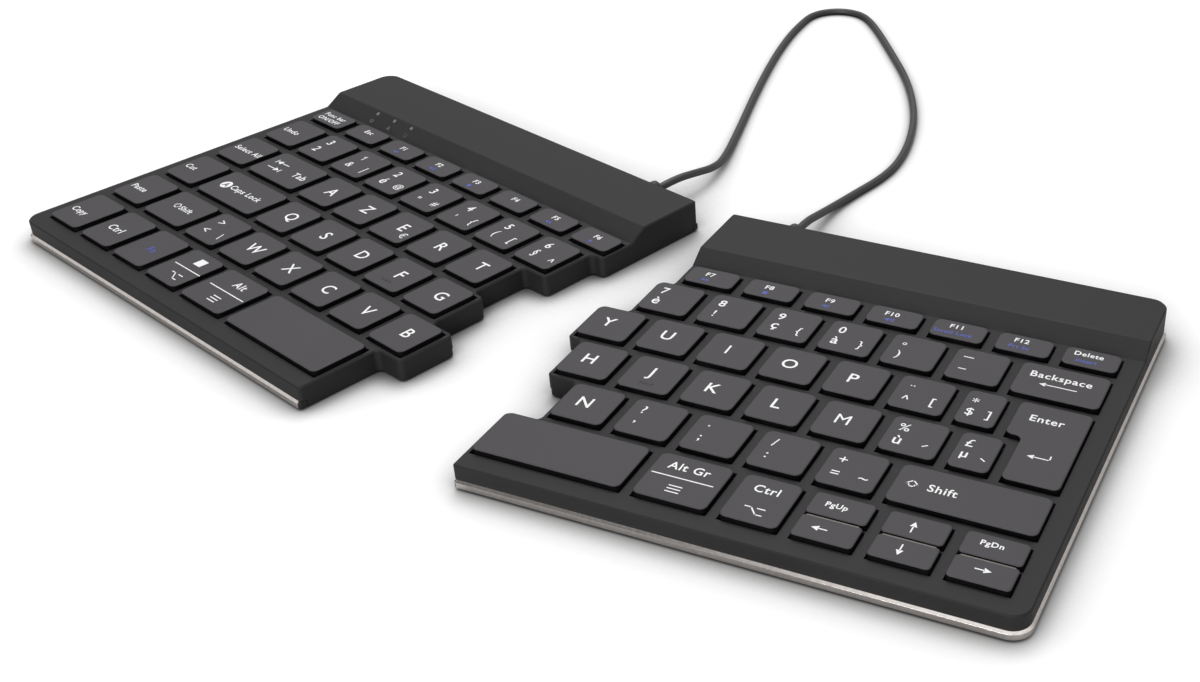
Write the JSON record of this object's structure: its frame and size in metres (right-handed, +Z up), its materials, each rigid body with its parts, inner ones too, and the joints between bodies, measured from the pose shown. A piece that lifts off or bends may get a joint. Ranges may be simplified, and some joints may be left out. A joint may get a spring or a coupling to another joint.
{
  "type": "ergonomic split keyboard",
  "caption": "Slim keyboard in two stepped halves joined by one cord: low key caps on rubber domes, a raised rear bar and a metal base; the halves splay and close together.",
  "frame": {"origin": "on the desk, under the middle of the two halves' footprint as they stand splayed", "axes": "+X to the typist's right, +Y to the rear, +Z up; each half is turned 8.787 degrees out of +X"},
  "size_m": [0.3582, 0.3397, 0.0112],
  "materials": {
    "housing_plastic": "fine moulded texture, matte black",
    "keycap_plastic": "charcoal, fine matte with printed legends",
    "base_metal": "satin with a bright bevel",
    "switch_steel": "plain sheet",
    "membrane_film": "clear film with printed tracks",
    "dome_rubber": "silicone",
    "board_laminate": "solder mask",
    "battery_pouch": "foil pouch",
    "light_guide": "clear moulded",
    "foot_rubber": "soft matte",
    "screw_steel": "blackened",
    "cord_rubber": "satin jacket",
    "socket_metal": "plated"
  },
  "bodies": {
    "left_half": {"left_top_case": "housing_plastic", "left_base_plate": "base_metal", "left_switch_plate": "switch_steel", "left_membrane": "membrane_film", "left_domes": "dome_rubber", "left_circuit_board": "board_laminate", "left_battery": "battery_pouch", "left_indicator_lights": "light_guide", "left_feet": "foot_rubber", "left_screws": "screw_steel", "left_cord_grommet": "cord_rubber", "left_charge_socket": "socket_metal", "joining_cord": "cord_rubber"},
    "right_half": {"right_top_case": "housing_plastic", "right_base_plate": "base_metal", "right_switch_plate": "switch_steel", "right_membrane": "membrane_film", "right_domes": "dome_rubber", "right_circuit_board": "board_laminate", "right_feet": "foot_rubber", "right_screws": "screw_steel", "right_cord_grommet": "cord_rubber"},
    "key_a": {"key_a": "keycap_plastic"},
    "key_b": {"key_b": "keycap_plastic"},
    "key_c": {"key_c": "keycap_plastic"},
    "key_d": {"key_d": "keycap_plastic"},
    "key_e": {"key_e": "keycap_plastic"},
    "key_f": {"key_f": "keycap_plastic"},
    "key_g": {"key_g": "keycap_plastic"},
    "key_q": {"key_q": "keycap_plastic"},
    "key_r": {"key_r": "keycap_plastic"},
    "key_s": {"key_s": "keycap_plastic"},
    "key_shift_left": {"key_shift_left": "keycap_plastic"},
    "key_space_left": {"key_space_left": "keycap_plastic"},
    "key_t": {"key_t": "keycap_plastic"},
    "key_v": {"key_v": "keycap_plastic"},
    "key_w": {"key_w": "keycap_plastic"},
    "key_x": {"key_x": "keycap_plastic"},
    "key_z": {"key_z": "keycap_plastic"},
    "left_control_keys": {"left_control_keys": "keycap_plastic"},
    "left_function_keys": {"left_function_keys": "keycap_plastic"},
    "left_number_keys": {"left_number_keys": "keycap_plastic"},
    "key_backspace": {"key_backspace": "keycap_plastic"},
    "key_enter": {"key_enter": "keycap_plastic"},
    "key_h": {"key_h": "keycap_plastic"},
    "key_i": {"key_i": "keycap_plastic"},
    "key_j": {"key_j": "keycap_plastic"},
    "key_k": {"key_k": "keycap_plastic"},
    "key_l": {"key_l": "keycap_plastic"},
    "key_m": {"key_m": "keycap_plastic"},
    "key_n": {"key_n": "keycap_plastic"},
    "key_o": {"key_o": "keycap_plastic"},
    "key_p": {"key_p": "keycap_plastic"},
    "key_shift_right": {"key_shift_right": "keycap_plastic"},
    "key_space_right": {"key_space_right": "keycap_plastic"},
    "key_u": {"key_u": "keycap_plastic"},
    "key_y": {"key_y": "keycap_plastic"},
    "right_control_keys": {"right_control_keys": "keycap_plastic"},
    "right_function_keys": {"right_function_keys": "keycap_plastic"},
    "right_number_keys": {"right_number_keys": "keycap_plastic"}
  },
  "joints": [
    {"name": "halves_swing", "type": "hinge", "parent": "left_half", "child": "right_half", "pos_m": [0.01245, 0.10636, 0], "axis": [0, 0, 1], "range_deg": [-17.5, 12], "deforming": ["joining_cord"]},
    {"name": "key_a_press", "type": "slide", "parent": "left_half", "child": "key_a", "axis": [0, 0, -1], "range_m": [0, 0.0015], "stiffness_N_per_m": 60, "springref_m": -0.005, "deforming": ["left_domes"]},
    {"name": "key_b_press", "type": "slide", "parent": "left_half", "child": "key_b", "axis": [0, 0, -1], "range_m": [0, 0.0015], "stiffness_N_per_m": 60, "springref_m": -0.005, "deforming": ["left_domes"]},
    {"name": "key_c_press", "type": "slide", "parent": "left_half", "child": "key_c", "axis": [0, 0, -1], "range_m": [0, 0.0015], "stiffness_N_per_m": 60, "springref_m": -0.005, "deforming": ["left_domes"]},
    {"name": "key_d_press", "type": "slide", "parent": "left_half", "child": "key_d", "axis": [0, 0, -1], "range_m": [0, 0.0015], "stiffness_N_per_m": 60, "springref_m": -0.005, "deforming": ["left_domes"]},
    {"name": "key_e_press", "type": "slide", "parent": "left_half", "child": "key_e", "axis": [0, 0, -1], "range_m": [0, 0.0015], "stiffness_N_per_m": 60, "springref_m": -0.005, "deforming": ["left_domes"]},
    {"name": "key_f_press", "type": "slide", "parent": "left_half", "child": "key_f", "axis": [0, 0, -1], "range_m": [0, 0.0015], "stiffness_N_per_m": 60, "springref_m": -0.005, "deforming": ["left_domes"]},
    {"name": "key_g_press", "type": "slide", "parent": "left_half", "child": "key_g", "axis": [0, 0, -1], "range_m": [0, 0.0015], "stiffness_N_per_m": 60, "springref_m": -0.005, "deforming": ["left_domes"]},
    {"name": "key_q_press", "type": "slide", "parent": "left_half", "child": "key_q", "axis": [0, 0, -1], "range_m": [0, 0.0015], "stiffness_N_per_m": 60, "springref_m": -0.005, "deforming": ["left_domes"]},
    {"name": "key_r_press", "type": "slide", "parent": "left_half", "child": "key_r", "axis": [0, 0, -1], "range_m": [0, 0.0015], "stiffness_N_per_m": 60, "springref_m": -0.005, "deforming": ["left_domes"]},
    {"name": "key_s_press", "type": "slide", "parent": "left_half", "child": "key_s", "axis": [0, 0, -1], "range_m": [0, 0.0015], "stiffness_N_per_m": 60, "springref_m": -0.005, "deforming": ["left_domes"]},
    {"name": "key_shift_left_press", "type": "slide", "parent": "left_half", "child": "key_shift_left", "axis": [0, 0, -1], "range_m": [0, 0.0015], "stiffness_N_per_m": 60, "springref_m": -0.005, "deforming": ["left_domes"]},
    {"name": "key_space_left_press", "type": "slide", "parent": "left_half", "child": "key_space_left", "axis": [0, 0, -1], "range_m": [0, 0.0015], "stiffness_N_per_m": 60, "springref_m": -0.005, "deforming": ["left_domes"]},
    {"name": "key_t_press", "type": "slide", "parent": "left_half", "child": "key_t", "axis": [0, 0, -1], "range_m": [0, 0.0015], "stiffness_N_per_m": 60, "springref_m": -0.005, "deforming": ["left_domes"]},
    {"name": "key_v_press", "type": "slide", "parent": "left_half", "child": "key_v", "axis": [0, 0, -1], "range_m": [0, 0.0015], "stiffness_N_per_m": 60, "springref_m": -0.005, "deforming": ["left_domes"]},
    {"name": "key_w_press", "type": "slide", "parent": "left_half", "child": "key_w", "axis": [0, 0, -1], "range_m": [0, 0.0015], "stiffness_N_per_m": 60, "springref_m": -0.005, "deforming": ["left_domes"]},
    {"name": "key_x_press", "type": "slide", "parent": "left_half", "child": "key_x", "axis": [0, 0, -1], "range_m": [0, 0.0015], "stiffness_N_per_m": 60, "springref_m": -0.005, "deforming": ["left_domes"]},
    {"name": "key_z_press", "type": "slide", "parent": "left_half", "child": "key_z", "axis": [0, 0, -1], "range_m": [0, 0.0015], "stiffness_N_per_m": 60, "springref_m": -0.005, "deforming": ["left_domes"]},
    {"name": "left_control_keys_press", "type": "slide", "parent": "left_half", "child": "left_control_keys", "axis": [0, 0, -1], "range_m": [0, 0.0015], "stiffness_N_per_m": 60, "springref_m": -0.005, "deforming": ["left_domes"]},
    {"name": "left_function_keys_press", "type": "slide", "parent": "left_half", "child": "left_function_keys", "axis": [0, 0, -1], "range_m": [0, 0.0015], "stiffness_N_per_m": 60, "springref_m": -0.005, "deforming": ["left_domes"]},
    {"name": "left_number_keys_press", "type": "slide", "parent": "left_half", "child": "left_number_keys", "axis": [0, 0, -1], "range_m": [0, 0.0015], "stiffness_N_per_m": 60, "springref_m": -0.005, "deforming": ["left_domes"]},
    {"name": "key_backspace_press", "type": "slide", "parent": "right_half", "child": "key_backspace", "axis": [0, 0, -1], "range_m": [0, 0.0015], "stiffness_N_per_m": 60, "springref_m": -0.005, "deforming": ["right_domes"]},
    {"name": "key_enter_press", "type": "slide", "parent": "right_half", "child": "key_enter", "axis": [0, 0, -1], "range_m": [0, 0.0015], "stiffness_N_per_m": 60, "springref_m": -0.005, "deforming": ["right_domes"]},
    {"name": "key_h_press", "type": "slide", "parent": "right_half", "child": "key_h", "axis": [0, 0, -1], "range_m": [0, 0.0015], "stiffness_N_per_m": 60, "springref_m": -0.005, "deforming": ["right_domes"]},
    {"name": "key_i_press", "type": "slide", "parent": "right_half", "child": "key_i", "axis": [0, 0, -1], "range_m": [0, 0.0015], "stiffness_N_per_m": 60, "springref_m": -0.005, "deforming": ["right_domes"]},
    {"name": "key_j_press", "type": "slide", "parent": "right_half", "child": "key_j", "axis": [0, 0, -1], "range_m": [0, 0.0015], "stiffness_N_per_m": 60, "springref_m": -0.005, "deforming": ["right_domes"]},
    {"name": "key_k_press", "type": "slide", "parent": "right_half", "child": "key_k", "axis": [0, 0, -1], "range_m": [0, 0.0015], "stiffness_N_per_m": 60, "springref_m": -0.005, "deforming": ["right_domes"]},
    {"name": "key_l_press", "type": "slide", "parent": "right_half", "child": "key_l", "axis": [0, 0, -1], "range_m": [0, 0.0015], "stiffness_N_per_m": 60, "springref_m": -0.005, "deforming": ["right_domes"]},
    {"name": "key_m_press", "type": "slide", "parent": "right_half", "child": "key_m", "axis": [0, 0, -1], "range_m": [0, 0.0015], "stiffness_N_per_m": 60, "springref_m": -0.005, "deforming": ["right_domes"]},
    {"name": "key_n_press", "type": "slide", "parent": "right_half", "child": "key_n", "axis": [0, 0, -1], "range_m": [0, 0.0015], "stiffness_N_per_m": 60, "springref_m": -0.005, "deforming": ["right_domes"]},
    {"name": "key_o_press", "type": "slide", "parent": "right_half", "child": "key_o", "axis": [0, 0, -1], "range_m": [0, 0.0015], "stiffness_N_per_m": 60, "springref_m": -0.005, "deforming": ["right_domes"]},
    {"name": "key_p_press", "type": "slide", "parent": "right_half", "child": "key_p", "axis": [0, 0, -1], "range_m": [0, 0.0015], "stiffness_N_per_m": 60, "springref_m": -0.005, "deforming": ["right_domes"]},
    {"name": "key_shift_right_press", "type": "slide", "parent": "right_half", "child": "key_shift_right", "axis": [0, 0, -1], "range_m": [0, 0.0015], "stiffness_N_per_m": 60, "springref_m": -0.005, "deforming": ["right_domes"]},
    {"name": "key_space_right_press", "type": "slide", "parent": "right_half", "child": "key_space_right", "axis": [0, 0, -1], "range_m": [0, 0.0015], "stiffness_N_per_m": 60, "springref_m": -0.005, "deforming": ["right_domes"]},
    {"name": "key_u_press", "type": "slide", "parent": "right_half", "child": "key_u", "axis": [0, 0, -1], "range_m": [0, 0.0015], "stiffness_N_per_m": 60, "springref_m": -0.005, "deforming": ["right_domes"]},
    {"name": "key_y_press", "type": "slide", "parent": "right_half", "child": "key_y", "axis": [0, 0, -1], "range_m": [0, 0.0015], "stiffness_N_per_m": 60, "springref_m": -0.005, "deforming": ["right_domes"]},
    {"name": "right_control_keys_press", "type": "slide", "parent": "right_half", "child": "right_control_keys", "axis": [0, 0, -1], "range_m": [0, 0.0015], "stiffness_N_per_m": 60, "springref_m": -0.005, "deforming": ["right_domes"]},
    {"name": "right_function_keys_press", "type": "slide", "parent": "right_half", "child": "right_function_keys", "axis": [0, 0, -1], "range_m": [0, 0.0015], "stiffness_N_per_m": 60, "springref_m": -0.005, "deforming": ["right_domes"]},
    {"name": "right_number_keys_press", "type": "slide", "parent": "right_half", "child": "right_number_keys", "axis": [0, 0, -1], "range_m": [0, 0.0015], "stiffness_N_per_m": 60, "springref_m": -0.005, "deforming": ["right_domes"]}
  ]
}
